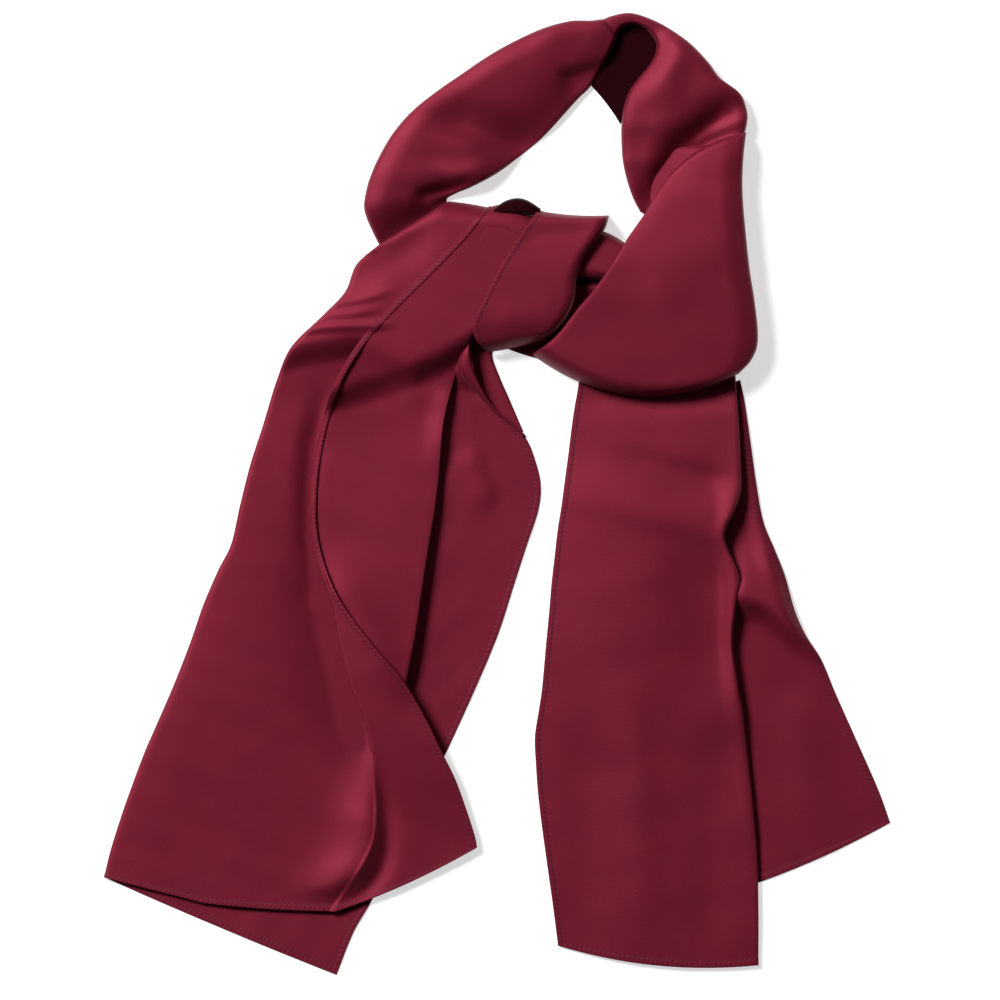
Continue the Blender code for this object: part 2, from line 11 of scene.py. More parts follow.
import bpy
import numpy as np
from bpy.props import FloatProperty, FloatVectorProperty, PointerProperty
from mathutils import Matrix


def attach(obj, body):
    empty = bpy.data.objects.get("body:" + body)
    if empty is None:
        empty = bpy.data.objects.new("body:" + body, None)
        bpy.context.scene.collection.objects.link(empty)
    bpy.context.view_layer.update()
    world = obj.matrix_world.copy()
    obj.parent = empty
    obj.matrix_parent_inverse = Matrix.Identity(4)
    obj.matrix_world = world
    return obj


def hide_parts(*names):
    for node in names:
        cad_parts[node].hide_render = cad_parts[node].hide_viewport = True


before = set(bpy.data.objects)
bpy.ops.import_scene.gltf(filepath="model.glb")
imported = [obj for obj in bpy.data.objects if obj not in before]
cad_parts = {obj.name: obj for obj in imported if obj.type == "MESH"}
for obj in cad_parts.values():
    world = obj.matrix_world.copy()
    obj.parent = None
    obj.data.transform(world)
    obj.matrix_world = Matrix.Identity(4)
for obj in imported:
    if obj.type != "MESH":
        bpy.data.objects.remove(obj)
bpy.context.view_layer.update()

bl_info = {
    "name": "Silk Scarf",
    "version": (1, 0, 0),
    "blender": (4, 5, 0),
    "location": "View3D > Sidebar > Scarf",
    "description": "A burgundy silk scarf tied in a loose half knot",
    "category": "Add Mesh",
}

MM = 0.001  # metres in a millimetre

# Sizes in millimetres.
FLOOR = 0.5  # the lowest that the middle of the cloth comes
LOWEST_TOP = 1.4  # the same for the top of the left tail's front
STEP = 2.6  # from one point of a shell to the next
SIDE_ROLL = 3.0  # radius of the rolled side of the left tail's front
LEFT_TAIL_HEAD = 11.0  # over which the left tail's front bends down at its head
LAYER = 2.2  # height of one layer where the pleat is folded
RIPPLE_LENGTH = 42.0  # of a common wave in the silk's unevenness
RIPPLES = 7  # how many of these waves there are
FOLD_FADE = 0.3  # part of a fold's line over which it fades, at each end
UNDER_STEPS = 20  # columns over the closed underside of a stretch

# A stitch, and the places along it with how thick it is there.
THREAD_SIDES, THREAD_WIDTH, THREAD_HEIGHT, THREAD_LIFT, THREAD_DIP = 6, 0.27, 0.16, 0.06, 0.12
STITCH_SHAPE = ((-1, 0.35), (-0.7, 0.85), (0, 1.0), (0.7, 0.85), (1, 0.35))

# The floor's side, and the camera's lens and sensor.
FLOOR_SIZE, LENS, SENSOR = 6000.0, 250.0, 36.0

# In metres: the satin's threads from one to the next, and the camera's view on the floor.
WEFT, WARP = 0.0009, 0.0007
VIEW_CENTRE, VIEW_WIDTH = (0.0014, -0.00455), 0.7

LENGTH = ("DISTANCE", "LENGTH")  # subtype and unit of a setting that is a length


def colour(name, description, default):
    """A colour that the user can change."""
    given = {"name": name, "description": description, "default": default}
    return FloatVectorProperty(**given, subtype="COLOR", size=3, min=0.0, max=1.0)


def number(name, description, default, low=0.0, high=1.0, subtype="NONE", unit="NONE"):
    """A number that the user can change."""
    given = {"name": name, "description": description, "default": default}
    return FloatProperty(**given, min=low, max=high, subtype=subtype, unit=unit)


class ScarfSettings(bpy.types.PropertyGroup):
    """Sizes and colours of the scarf and its studio."""

    silk_colour: colour("Silk colour", "Base colour of the satin", (0.152, 0.0062, 0.0205))
    thread_colour: colour(
        "Thread colour", "Base colour of the sewing thread", (0.035, 0.002, 0.006)
    )
    silk_roughness: number(
        "Silk roughness", "How soft the satin's gloss is", 0.62, subtype="FACTOR"
    )
    cloth_thickness: number(
        "Cloth thickness", "Thickness of one layer of silk", 0.00045, 0.0001, 0.002, *LENGTH
    )
    hem_thickness: number(
        "Hem thickness", "Thickness of the rolled hem", 0.0007, 0.0002, 0.004, *LENGTH
    )
    hem_width: number(
        "Hem width", "From the edge of the cloth to the stitches", 0.004, 0.001, 0.02, *LENGTH
    )
    stitch_spacing: number(
        "Stitch spacing", "Distance from one stitch to the next", 0.0034, 0.001, 0.02, *LENGTH
    )
    stitch_length: number(
        "Stitch length", "Length of the thread that shows", 0.0019, 0.0003, 0.01, *LENGTH
    )
    crease_depth: number(
        "Crease depth", "How strongly the fine creases show", 1.0, high=2.0, subtype="FACTOR"
    )
    floor_colour: colour(
        "Floor colour", "Colour of the surface that the scarf lies on", (0.6, 0.6, 0.6)
    )
    key_power: number(
        "Key light power", "Power of the large soft light", 510.0, high=1000.0, unit="POWER"
    )


def scarf_settings():
    """The scarf's settings in the scene."""
    return bpy.context.scene.silk_scarf


def table(columns, *rows):
    """A table with named columns.

    What a row leaves out at its end is as in the row before it, or zero in the first.
    """
    names = columns.split()
    values = np.zeros((len(rows), len(names)))
    for i, row in enumerate(rows):
        values[i] = (*row, *values[max(i - 1, 0), len(row) :])
    return {name: values[:, i] for i, name in enumerate(names)}


def feet(*rows):
    """Heights that a stretch's two sides come down to, by the part of its length."""
    return table("place left right", *rows)


ON_FLOOR = feet((0, FLOOR, FLOOR))

# Across a hem, from its edge in: the distance as a part of the hem's width, and how full
# the hem is there. The stitches run along the step that is the whole width in.
HEM = table(
    "step full",
    *zip((0, 0.12, 0.35, 0.8, 0.92, 1, 1.08, 1.25), (0.75, 1, 1, 0.95, 0.5, 0.12, 0, 0)),
)
STITCHED = 5


def stretch(*rows):
    """Sections across a stretch, from its head to its end.

    height is that of the cloth above the surface, curl how far in degrees a side turns
    down and under, and bow how far the section bends out of its straight line.
    """
    return table("left_x left_y right_x right_y height curl_left curl_right bow", *rows)


LOOP_LEFT = stretch(
    (-75.7, 162, -28.7, 192, 7, 90, 90),
    (-83.2, 174.8, -36.2, 204.8, 10),
    (-93, 197, -30, 210, 15.5, 140, 130),
    (-92, 211, -20, 214, 16, 165, 150),
    (-88, 224, -7, 220.5, 17, 165, 160),
    (-82, 237, 4, 227.5, 17, 165, 165),
    (-73, 252, 18, 238.5),
    (-61, 266, 29, 247.5),
    (-46, 278.5, 38, 256.5),
    (-26, 292.5, 47, 266.5),
    (-1, 309, 56, 276.5, 18, 165, 150),
    (28, 323.5, 64.5, 285, 17, 165, 110),
    (50, 330, 71.5, 297, 15, 150, 90),
    (65, 330.5, 77.5, 308, 15, 120),
    (73, 331.6, 82.5, 319, 15, 100, 80),
)

LOOP_CROWN = stretch(
    (66, 328, 79, 315, 11, 90, 60),
    (72.5, 331, 83, 321, 13),
    (80, 334, 87, 326, 14.5, 90, 70),
    (92, 336, 95, 328, 15, 90, 80),
    (105, 332.5, 103, 325, 15.5),
    (118, 326, 109, 319, 14, 110),
    (134, 314.5, 111, 311, 17, 150),
    (147, 300.7, 107, 301, 19, 165),
    (155, 290, 99, 291),
    (168.5, 280, 92, 281, 19, 165, 100),
    (173, 270, 88, 269, 19, 165, 130),
    (174, 261, 86.5, 257, 19, 165, 160),
    (170.5, 249, 86.5, 248, 17, 90),
    (160, 241, 86.8, 240, 16, 0),
    (146, 232, 87.6, 232),
    (134, 222, 89.2, 224, 15, 0, 150),
    (123, 211, 92, 214, 15, 0, 140),
    (115, 200, 95.5, 205, 14, 0, 120),
    (110, 192, 99.8, 197, 11, 0, 90),
)

LOOP_LINING = stretch(
    (65.4, 285, 85.8, 258, 2.6, 0, 0, 1),
    (66, 292, 90, 268, 2.6, 0, 0, 0),
    (68, 300, 95, 279),
    (71, 306, 102, 289),
    (74, 312, 110, 300),
    (77, 318, 114, 310),
    (80, 324, 113, 318),
    (86, 330, 106, 327),
)

LOOP_RIGHT = stretch(
    (103, 192, 173, 252, 21, 80, 80, 13),
    (94.5, 183.5, 171, 234, 24, 90, 110, 9),
    (87, 172, 170.5, 210, 26, 30, 150, 5),
    (80, 160, 172.5, 184, 27, 12, 165, 2),
    (71, 147, 175.5, 156, 27, 12, 165, 0),
    (64, 138, 178.5, 137, 27, 12, 165, -2),
    (56, 129, 181, 116, 26, 12, 165, -5),
    (50, 121, 180.8, 103, 25, 12, 150, -9),
    (42, 111, 176.5, 93, 24, 12, 120, -13),
    (33, 103, 172, 88, 23, 20, 100, -20),
    (24, 97.5, 168, 84, 21, 40, 90, -22),
)

KNOT_BAND = stretch(
    (27.5, 197.8, 77.5, 194.5, 24, 0, 70, -1.6),
    (17, 181, 75, 186, 25, 0, 90, 1),
    (9, 169, 69, 177, 25, 0, 100, 0),
    (1, 156, 62, 167, 25.5, 0, 110),
    (-6, 142, 55.5, 152),
    (-13, 128, 53.5, 136, 25, 0, 110, -1),
    (-17, 117, 48, 123.5, 24, 0, 100),
    (-15.5, 107, 41, 115, 22, 0, 90, 0),
    (-7, 99, 33, 108, 19, 0, 80, -1),
)

# The plain layer under the knot, which closes it from below.
KNOT_UNDER = stretch(
    (-40, 186, 66, 180, 0.5),
    (-84, 160, 62, 160),
    (-100, 140, 54, 142),
    (-114, 120, 50, 124),
    (-122, 102, 44, 110),
)

KNOT_STRAND = stretch(
    (71, 184, 92, 172, 15, 0, 0, 1.5),
    (64, 179, 90, 163, 16, 0, 0, 0),
    (58, 171, 85, 156, 16.5),
    (51, 154.5, 80, 149.5, 16),
    (50, 151, 78, 146.5, 7),
    (49, 146, 76, 143.5, 9),
    (48, 136, 69, 135, 6),
    (43, 122, 62, 123, 2),
    (26, 113, 56, 108, 1.5),
    (12, 107, 46, 97, 1.2),
    (6, 101.5, 38, 92.5, 1, 0, 0, -1),
)

RIGHT_TAIL_FRONT = stretch(
    (58, 93, 165, 98, 6, 0, 90, -9.5),
    (56.3, 76.5, 166, 81.5, 7),
    (52.5, 54, 168, 51, 9, 0, 130, -4),
    (49, 26, 169.3, 23, 10.5, 0, 150, 0),
    (46.3, 6, 169.5, 2, 12),
    (44.2, -10, 165, -12, 12.8),
    (42.2, -22, 160, -22, 13),
    (41, -31, 158, -30),
    (39.8, -42, 161, -40),
    (38.5, -53, 167, -52),
    (37.3, -64, 169.3, -61),
    (36, -80, 167, -76, 12.8),
    (33.6, -105, 164, -103, 12),
    (30.7, -137, 168, -134, 10),
    (28.3, -153, 171, -152, 8.8),
    (25.8, -170, 173, -168, 7.5),
    (26.4, -188, 175, -187, 6.5),
    (28.5, -215, 178, -215, 6),
    (33, -250, 181, -250, 5.5),
    (38.2, -287, 182, -290, 5, 0, 150, -2),
    (42, -316.5, 182, -330, 4, 0, 120, -7),
)

RIGHT_TAIL_BACK = stretch(
    (95, 55, 169.5, 79.5, 0.9),
    (90, 45, 172.5, 65),
    (80, 25, 176.5, 37),
    (70, -10, 181.3, 3),
    (62, -35, 186, -21),
    (58, -50, 193, -38),
    (55, -68, 200.5, -57),
    (52, -90, 207.5, -82),
    (50, -108, 215, -99),
    (46, -128, 226, -116),
    (43, -155, 236.3, -140),
    (42, -190, 251, -173),
    (46, -240, 266, -207, 0.8),
    (58, -302, 274.5, -230.5, 0.6, 0, 0, -11),
)

LEFT_TAIL_BACK = stretch(
    (-96, 110, -20, 112, 0.6),
    (-130, 92, -19, 98),
    (-140, 70, -14, 78),
    (-150, 48, -4, 62),
    (-158, 30, 8, 50),
    (-164, 12, 20, 38),
    (-168, 0, 26.5, 22),
    (-171, -15, 30, 6),
    (-176, -32, 28.5, -11),
    (-184, -52, 20, -37),
    (-193, -75, 11, -65),
    (-204, -105, 0, -99),
    (-218, -138, -16, -137),
    (-234, -175, -36.5, -182),
    (-247, -210, -60, -232),
    (-259, -242, -90, -288),
    (-264, -256, -101, -307),
    (-272.5, -270, -113, -337, 0.6, 0, 0, -1),
)

KNOT_LOWER_STRAND = stretch(
    (-24, 120, 4, 113, 0.6),
    (-22, 108, -1, 104),
    (-21, 99, -4, 97),
    (-18, 83, 1, 82),
    (-9, 66, 8, 66),
    (4, 52, 14, 52),
    (15, 43.5, 18, 43),
)

# The underside that shows where the strand folds over the knot's top, drawn dark with painted
# shade.
KNOT_CREST = stretch(
    (-5, 196, -4, 193, 15.5, 60),
    (0, 201, 2, 195.5, 16.5, 80),
    (7, 205, 8, 196, 17, 90),
    (15, 206.2, 15, 196, 17.2),
    (22, 204, 21.5, 195, 17, 80),
    (30, 198.6, 28, 193, 15.5, 60),
)

# The narrow curled edge that comes out from under the knot, with its bright free rim.
KNOT_LIP = stretch(
    (-22, 118, -12, 116, 15),
    (-24, 106, -19.8, 105, 14.5),
    (-28, 95, -19.8, 96, 13.5),
    (-27.5, 86, -17.8, 87, 12),
    (-20.5, 76.5, -13.8, 77.5, 10),
    (-11.8, 67.5, -8, 66.5, 8),
    (-3.8, 58.5, -1, 57.8, 6),
    (5, 51, 7.2, 52, 4.5),
    (12.5, 44.5, 14.3, 45.8, 3),
    (18, 38.5, 20, 39.8, 1.6),
)

# The left tail's front is pleated: it runs from its left side past its middle to the
# turn, back over itself to the crease, and from there to its hem. closed says how far
# the pleat is shut, thick how far its layers lie apart, and hump how far its upper
# layer stands out of a straight line.
LEFT_TAIL_FRONT = table(
    "side_x side_y mid_x mid_y turn_x turn_y crease_x crease_y hem_x hem_y"
    " closed thick curl hump",
    (-83.5, 173.3, -34.5, 204.3, 34, 186, -10, 198.5, -5.9, 197.3, 1, 0.17, 90, 9),
    (-99, 160, -46, 180, 25, 168, -27, 178, -22.5, 177.1, 1, 0.17, 150, 3),
    (-107, 141, -51, 152, 11, 148, -54, 151, -48.7, 150.8, 1, 0.17, 165, 0),
    (-123, 124, -66, 131, -3, 129, -78, 127, -72.5, 127.1),
    (-145, 102, -83, 105, -20, 108, -98, 104, -93, 104.3),
    (-155, 79, -92, 83, -29, 86, -113, 79, -108.5, 79.4),
    (-164.5, 48, -101, 50, -38, 51, -123, 49, -118.9, 49.1),
    (-173.5, 20, -107, 20, -41, 20, -129, 18, -125.1, 18.1),
    (-181, -10, -112, -9, -44, -8, -131, -12, -127.1, -11.8),
    (-187, -36, -117, -34, -48, -32, -129, -34, -125.1, -33.9),
    (-196, -54, -124, -53, -51, -52, -123, -56, -119, -57, 1, 0.5),
    (-206.3, -78, -130, -76, -54, -73, -116, -77, -109, -78, 1, 0.7),
    (-215.3, -104, -137, -102, -58, -100, -111, -102, -91, -102, 1, 0.9),
    (-227, -134, -146, -132, -64, -130, -103, -134, -66, -131, 1, 1),
    (-240, -164, -154, -162, -71, -160, -92, -163, -48, -162),
    (-247, -180, -159, -178, -77, -177, -90, -179, -41, -177, 0.92),
    (-255, -201, -166, -201, -85, -200, -88, -200, -30, -199, 0.6, 0.8),
    (-262.5, -222, -173, -224, -90, -220, -82, -220, -22, -221, 0.3, 0.5, 160),
    (-270.5, -247, -184, -255, -98, -249, -82, -247, -16.5, -238, 0.2, 0.35, 150),
    (-276, -268.5, -206, -286.5, -128, -293, -106, -292, -14.5, -247.5, 0.15, 0.3, 60, -3.3),
)

# Ridges and valleys along curved lines. Each has its height, how far it reaches to the
# left and to the right of the line, and the line's points. Its height fades at both ends.
LEFT_TAIL_FOLDS = (
    (2.4, 3, 2.5, (-150, 108), (-128, 115), (-108, 116.5), (-86, 117), (-70, 118)),
    (1.3, 3, 2.5, (-146, 118), (-120, 123.5), (-98, 126), (-76, 130)),
    (1.3, 3, 3, (-140, 128), (-112, 133), (-90, 137), (-66, 144)),
    (-1.8, 12, 12, (-118, 138), (-92, 154), (-62, 172), (-36, 192)),
    (3.5, 7, 9, (-33, 78), (-35, 60), (-38, 40), (-40, 10)),
    (-1.5, 6, 12, (-118, 64), (-96, 71), (-76, 77), (-56, 85), (-38, 95), (-16, 111)),
    (6, 7, 17, (-91, -170), (-91, -215), (-91, -240), (-98, -260), (-116, -273), (-150, -277)),
    (-2.5, 7, 3.5, (-86, -180), (-80, -215), (-77.5, -243), (-83, -265), (-98, -281),
     (-126, -290)),
)

LEFT_LOWER_FOLDS = (
    (-5, 6, 8, (-118, 86), (-127, 45), (-130, 15), (-131, -15), (-127, -45), (-114, -88)),
    (-6.5, 8, 22, (-132, 0), (-122, -60), (-112, -98), (-103, -134), (-94, -170), (-84, -235)),
    (-4.5, 20, 50, (-134, 70), (-130, 0), (-122, -60), (-112, -120), (-102, -190), (-98, -270)),
)

LEFT_UPPER_FOLDS = (
    (5, 16, 14, (-124, -34), (-106, -66), (-90, -92), (-75, -118), (-56, -150)),
    (-3.5, 6, 17, (15, 182), (10, 172), (4, 158)),
)

LEFT_BACK_FOLDS = (
    (11, 8, 18, (-14, 176), (-15, 140), (-16, 112), (-17, 94), (-17, 82), (-18, 70)),
    (1.6, 7, 12, (-22, 36), (-17, 20), (-11, 4), (-5, -16)),
    (-2, 9, 7, (-12, 62), (-3, 42), (6, 22), (12, 6)),
)

LOOP_LEFT_FOLDS = (
    (-7.5, 17, 10, (-60, 274), (-34, 262), (-12, 254), (10, 246), (30, 238), (44, 234)),
    (-9, 26, 20, (-20, 222), (6, 232), (30, 247), (50, 267), (66, 283), (84, 306)),
    (-5, 6, 14, (38, 288), (54, 291), (72, 296), (96, 302)),
    (-1.5, 10, 7, (-64, 238), (-36, 234), (-12, 235), (14, 240)),
    (-5, 5, 6, (-62, 205), (-48, 209), (-30, 214), (-12, 219)),
    (-7, 16, 8, (-104, 160), (-80, 174), (-58, 188), (-34, 204), (-22, 212)),
    (1.5, 3, 6, (18, 314), (40, 323), (60, 326), (80, 326)),
)

LOOP_CROWN_FOLDS = (
    (-12.5, 12, 11, (184, 284), (166, 271), (153, 259), (139, 247), (126, 234), (114, 217),
     (106, 198), (98, 176)),
    (3.5, 3.5, 4, (172, 262), (158, 256), (146, 249), (134, 240), (124, 230)),
    (-3, 3, 4, (186, 260), (168, 253), (152, 247), (138, 240), (126, 230), (114, 214), (104, 194)),
    (2.5, 12, 12, (128, 330), (124, 310), (118, 288), (112, 262)),
    (-2.5, 8, 9, (104, 280), (101, 258), (99, 236), (99, 212), (102, 192)),
)

LOOP_RIGHT_FOLDS = (
    (1.5, 22, 22, (95, 142), (130, 158), (175, 180)),
    (-1.2, 14, 8, (106, 210), (128, 220), (152, 218), (176, 208)),
)

BAND_FOLDS = (
    (-1.2, 9, 6, (8, 176), (30, 181), (52, 183), (84, 188)),
    (1.0, 14, 14, (-8, 118), (20, 124), (50, 130)),
)

STRAND_FOLDS = ((-7, 1.8, 1.8, (20, 149.5), (60, 149.5), (100, 149.5)),)

RIGHT_FRONT_FOLDS = (
    (-3, 12, 9, (30, 66), (80, 68), (130, 69), (190, 72)),
    (-2, 9, 16, (70, 30), (105, 20), (140, 11), (185, 6)),
    (2.4, 26, 12, (20, 2), (60, -2), (105, -12), (150, -24), (190, -34)),
    (-2.5, 11, 40, (144, 40), (147, 0), (151, -60), (152, -102), (155, -165)),
    (-3, 9, 32, (150, -28), (153, -68), (153, -102), (156, -150)),
    (1.1, 4, 6, (166, 84), (167, 20), (163, -10), (157, -30), (163, -60), (162, -105),
     (168, -160), (175, -230), (179, -350)),
    (-1.2, 14, 14, (56, -150), (60, -230), (58, -350)),
    (1.6, 16, 16, (92, -110), (98, -220), (100, -350)),
    (-0.8, 14, 14, (150, -150), (151, -230), (148, -350)),
)

RIGHT_BACK_FOLDS = (
    (3.5, 14, 9, (172, 110), (178, 40), (184, -5), (191, -42), (197, -66)),
    (12, 22, 11, (148, -67), (168, -70), (190, -77), (212, -95), (255, -128)),
    (1.2, 16, 16, (200, -130), (216, -180), (224, -260)),
    (-0.4, 12, 12, (230, -120), (246, -170), (256, -230)),
)

# The ledge that the left tail's front falls over below the knot, as two rows of x and y:
# for the pleat's upper layer and for the lower one.
UPPER_LEDGE = (-130, -105, -80, -60, -40, -25, 0), (64, 71, 78, 85, 94, 104, 120)
LOWER_LEDGE = (-160, -130, -95, -60, -40, -25, 0), (93, 102, 106, 85, 94, 104, 120)


def smooth(t):
    """A soft step from 0 to 1, as t goes from 0 to 1."""
    t = np.clip(t, 0.0, 1.0)
    return t * t * (3 - 2 * t)


def curved(points):
    """A smooth line through points, as many points close together."""
    points = np.array(points, float)
    first, last = 2 * points[:1] - points[1:2], 2 * points[-1:] - points[-2:-1]
    every = np.concatenate([first, points, last])
    t = np.linspace(0, 1, 9)[1:, None]
    line = [points[:1]]
    for a, b, c, d in zip(every, every[1:], every[2:], every[3:]):
        straight = 2 * b + (c - a) * t
        bent = straight + (2 * a - 5 * b + 4 * c - d) * t**2
        line.append(0.5 * (bent + (3 * b - a - 3 * c + d) * t**3))
    return np.concatenate(line)


def relief(x, y, folds):
    """Height that the ridges and valleys add at each point."""
    total = np.zeros(np.shape(x))
    here = np.stack([x, y], -1)[..., None, :]
    for height, left, right, *points in folds:
        line = curved(points)
        way = np.diff(line, axis=0)
        # The nearest point of the line, and the side of it that the cloth's point is on.
        apart = here - line[:-1]
        t = np.clip((apart * way).sum(-1) / (way**2).sum(-1), 0, 1)
        away = ((apart - way * t[..., None]) ** 2).sum(-1)
        near = away.argmin(-1)[..., None]
        turn = way[:, 0] * apart[..., 1] - way[:, 1] * apart[..., 0]
        away, t, turn = (np.take_along_axis(of, near, -1)[..., 0] for of in (away, t, turn))
        long = np.linalg.norm(way, axis=1)[near[..., 0]]
        side = 0.5 + 0.5 * np.tanh(2 * turn / long / min(left, right))
        reach = right + (left - right) * side
        part = (near[..., 0] + t) / len(way)
        fade = smooth(part / FOLD_FADE) * smooth((1 - part) / FOLD_FADE)
        total = total + height * fade * np.exp(-away / reach**2)
    return total


def ripple(x, y, seed):
    """The faint unevenness of silk that lies loose: slow waves, from -1 to 1 in all."""
    chance = np.random.default_rng(seed)
    total = np.zeros(np.shape(x))
    for _ in range(RIPPLES):
        turn, phase = chance.uniform(0, 2 * math.pi, 2)
        length = RIPPLE_LENGTH * chance.uniform(0.6, 1.9)
        total = total + np.sin(
            2 * math.pi * (x * math.cos(turn) + y * math.sin(turn)) / length + phase
        )
    return total / RIPPLES


def creases(x, y, seed):
    """The fine unevenness in millimetres, as deep as the scarf's settings ask."""
    return 0.5 * scarf_settings().crease_depth * ripple(x, y, seed)


def pile(x, y, upper=False):
    """Height of the left tail's front above the floor: high in the knot, low below.

    Most of the fall is at a ledge, and the rest is drawn out below it. The pleat's upper
    layer has its own ledge, further on than the lower one's.
    """
    x, y = np.asarray(x, float), np.asarray(y, float)
    past = y - np.interp(x, *(UPPER_LEDGE if upper else LOWER_LEDGE))
    steep = 0.78 if upper else 0.74
    top = 17 + 2 * smooth((x + 110) / 110)
    low = 4.2 + 5.6 * smooth((y + 290) / 170) - 5.0 * smooth((y + 40) / 120)
    step = steep * smooth((past + 13) / 19) + (1 - steep) * smooth((past + 40) / 46)
    return low + (top - low) * step


def blend(sections, at):
    """A table's values at distances along its stretch, on smooth curves."""
    place = sections["place"]
    i = np.clip(np.searchsorted(place, at) - 1, 0, len(place) - 2)
    before, after = np.maximum(i - 1, 0), np.minimum(i + 2, len(place) - 1)
    width = place[i + 1] - place[i]
    t = (at - place[i]) / width
    found = {}
    for name, column in sections.items():
        start = (column[i + 1] - column[before]) / (place[i + 1] - place[before]) * width
        end = (column[after] - column[i]) / (place[after] - place[i]) * width
        found[name] = (
            column[i] * (2 * t**3 - 3 * t**2 + 1)
            + start * (t**3 - 2 * t**2 + t)
            + column[i + 1] * (3 * t**2 - 2 * t**3)
            + end * (t**3 - t**2)
        )
    return found


def placed(sections, first, last):
    """The table with each section's distance from the head, along its middle."""
    middle = [(sections[first + n] + sections[last + n]) / 2 for n in ("_x", "_y")]
    steps = np.hypot(*np.diff(np.stack(middle, 1), axis=0).T)
    return {**sections, "place": np.concatenate([[0.0], np.cumsum(steps)])}


def hem_steps():
    """Distances in from a hemmed edge: its rounded rim, its strip and its stitch line."""
    return HEM["step"] * (scarf_settings().hem_width / MM)


def rows_along(length, head=0.0, end=0.0, end_hem=False):
    """Distances along a stretch with how far each lies down: 0 on the floor, 1 on top."""
    turns = np.linspace(0, math.pi / 2, 9)[:-1]
    over, up = 1 - np.cos(turns), np.sin(turns)
    start, stop = head, length - end
    hem = hem_steps() if end_hem else np.array([0.0])
    count = max(int(round((stop - hem[-1] - start) / STEP)), 1)
    at = [np.linspace(start, stop - hem[-1], count + 1), stop - hem[:-1][::-1]]
    at = np.concatenate(at)
    rise = np.ones(len(at))
    if head:
        at, rise = np.concatenate([head * over, at]), np.concatenate([up, rise])
    if end:
        at = np.concatenate([at, length - end * over[::-1]])
        rise = np.concatenate([rise, up[::-1]])
    return at, rise


def side_roll(radius, curl, steps=8):
    """Steps over a rolled side, from under it to its top: distance in, part of height."""
    turned = np.radians(np.maximum(curl, 30.0))[:, None]
    share = smooth(curl / 45.0)[:, None]
    outer = np.sin(np.minimum(turned, math.pi / 2))
    angles = turned * (1 - np.arange(steps) / steps)
    away = radius[:, None] * (outer - np.sin(angles))
    return away, 1 - share * (1 - np.cos(angles)) / (1 - np.cos(turned))


def curl_at(curl, up):
    """A side's curl where its stretch bends down: there it no longer turns under."""
    return np.minimum(curl, 90.0) + np.maximum(curl - 90.0, 0.0) * smooth((up - 0.6) / 0.4)


def side_steps(curl, up, radius, rolled, hemmed):
    """Steps in over one side of each row: distances, and the part of the height there."""
    if rolled:
        return side_roll(radius, curl_at(curl, up))
    if hemmed:
        away = np.repeat(hem_steps()[None], len(up), 0)
        return away, np.ones(away.shape)
    return np.zeros((len(up), 1)), np.ones((len(up), 1))


def steps_across(width, radius, left, right):
    """Steps over each whole row, from its left side to its right: distances and parts."""
    plain = [side[0].shape[1] == 1 for side in (left, right)]
    gap = 0.2 * radius[:, None]
    first = left[0][:, -1:] + (0 if plain[0] else gap)
    last = width[:, None] - right[0][:, -1:] - (0 if plain[1] else gap)
    count = max(int(math.ceil(np.median(width) / STEP)), 6)
    middle = first + (last - first) * np.linspace(0, 1, count + 1)[None]
    middle = middle[:, int(plain[0]) : count + 1 - int(plain[1])]
    away = np.concatenate([left[0], middle, width[:, None] - right[0][:, ::-1]], 1)
    part = np.concatenate([left[1], np.ones(middle.shape), right[1][:, ::-1]], 1)
    return away, part


def lay(
    sections,
    folds=(),
    hems="",
    head=0.0,
    end=0.0,
    feet=ON_FLOOR,
    roll=3.5,
    seed=0,
    shoulder=(1.0, 1.0, 1.0, 1.0),
    closed=False,
):
    """Points of a stretch of cloth, row by row, with its hems' thickness and seams.

    hems names the free edges (left, right, end). head and end say how far the stretch
    takes to bend down there, and feet the height that it comes down to on its left and
    right side. roll is the radius of its rolled sides. shoulder is the part of the height
    that the left side starts at and how far in it takes to rise, and the same for the
    right side. closed carries the cloth on under itself, to its left side.
    """
    sections = placed(sections, "left", "right")
    length = sections["place"][-1]
    at, up = rows_along(length, head, end, "end" in hems)
    s = blend(sections, at)
    left = np.stack([s["left_x"], s["left_y"]], 1)
    across = np.stack([s["right_x"], s["right_y"]], 1) - left
    width = np.hypot(*across.T)
    along = across / width[:, None]
    out = np.stack([-along[:, 1], along[:, 0]], 1)
    lowest = 0.5 * min(shoulder[0], shoulder[2])
    radius = np.minimum(np.minimum(roll, lowest * s["height"]), 0.3 * width)
    sides = []
    for side in ("left", "right"):
        curl = "curl_" + side
        rolled = sections[curl].max() > 0
        sides.append(side_steps(s[curl], up, radius, rolled, side in hems))
    far, part = steps_across(width, radius, *sides)
    for i, away in ((0, far), (2, width[:, None] - far)):
        slope = np.sin(0.5 * math.pi * np.clip(away / shoulder[i + 1], 0, 1))
        part = part * (1 - (1 - shoulder[i]) * (1 - slope))
    v = far / width[:, None]
    bow = (s["bow"][:, None] * 4 * v * (1 - v))[..., None]
    plan = left[:, None] + along[:, None] * far[..., None] + out[:, None] * bow
    x, y = plan[..., 0], plan[..., 1]
    low, high = (np.interp(at / length, feet["place"], feet[n]) for n in ("left", "right"))
    foot = low[:, None] + (high - low)[:, None] * v
    top = s["height"][:, None] + relief(x, y, folds) + creases(x, y, seed)
    top = np.maximum(top, foot)
    grid = np.stack([x, y, foot + (top - foot) * part * up[:, None]], 2)
    if closed:
        first, last = grid[:, :1], grid[:, -1:]
        under = np.linspace(0, 1, UNDER_STEPS)[1:-1, None]
        grid = np.concatenate([grid, last + (first - last) * under], 1)
    return {"grid": grid, "hem": hem_marks(grid, hems)}


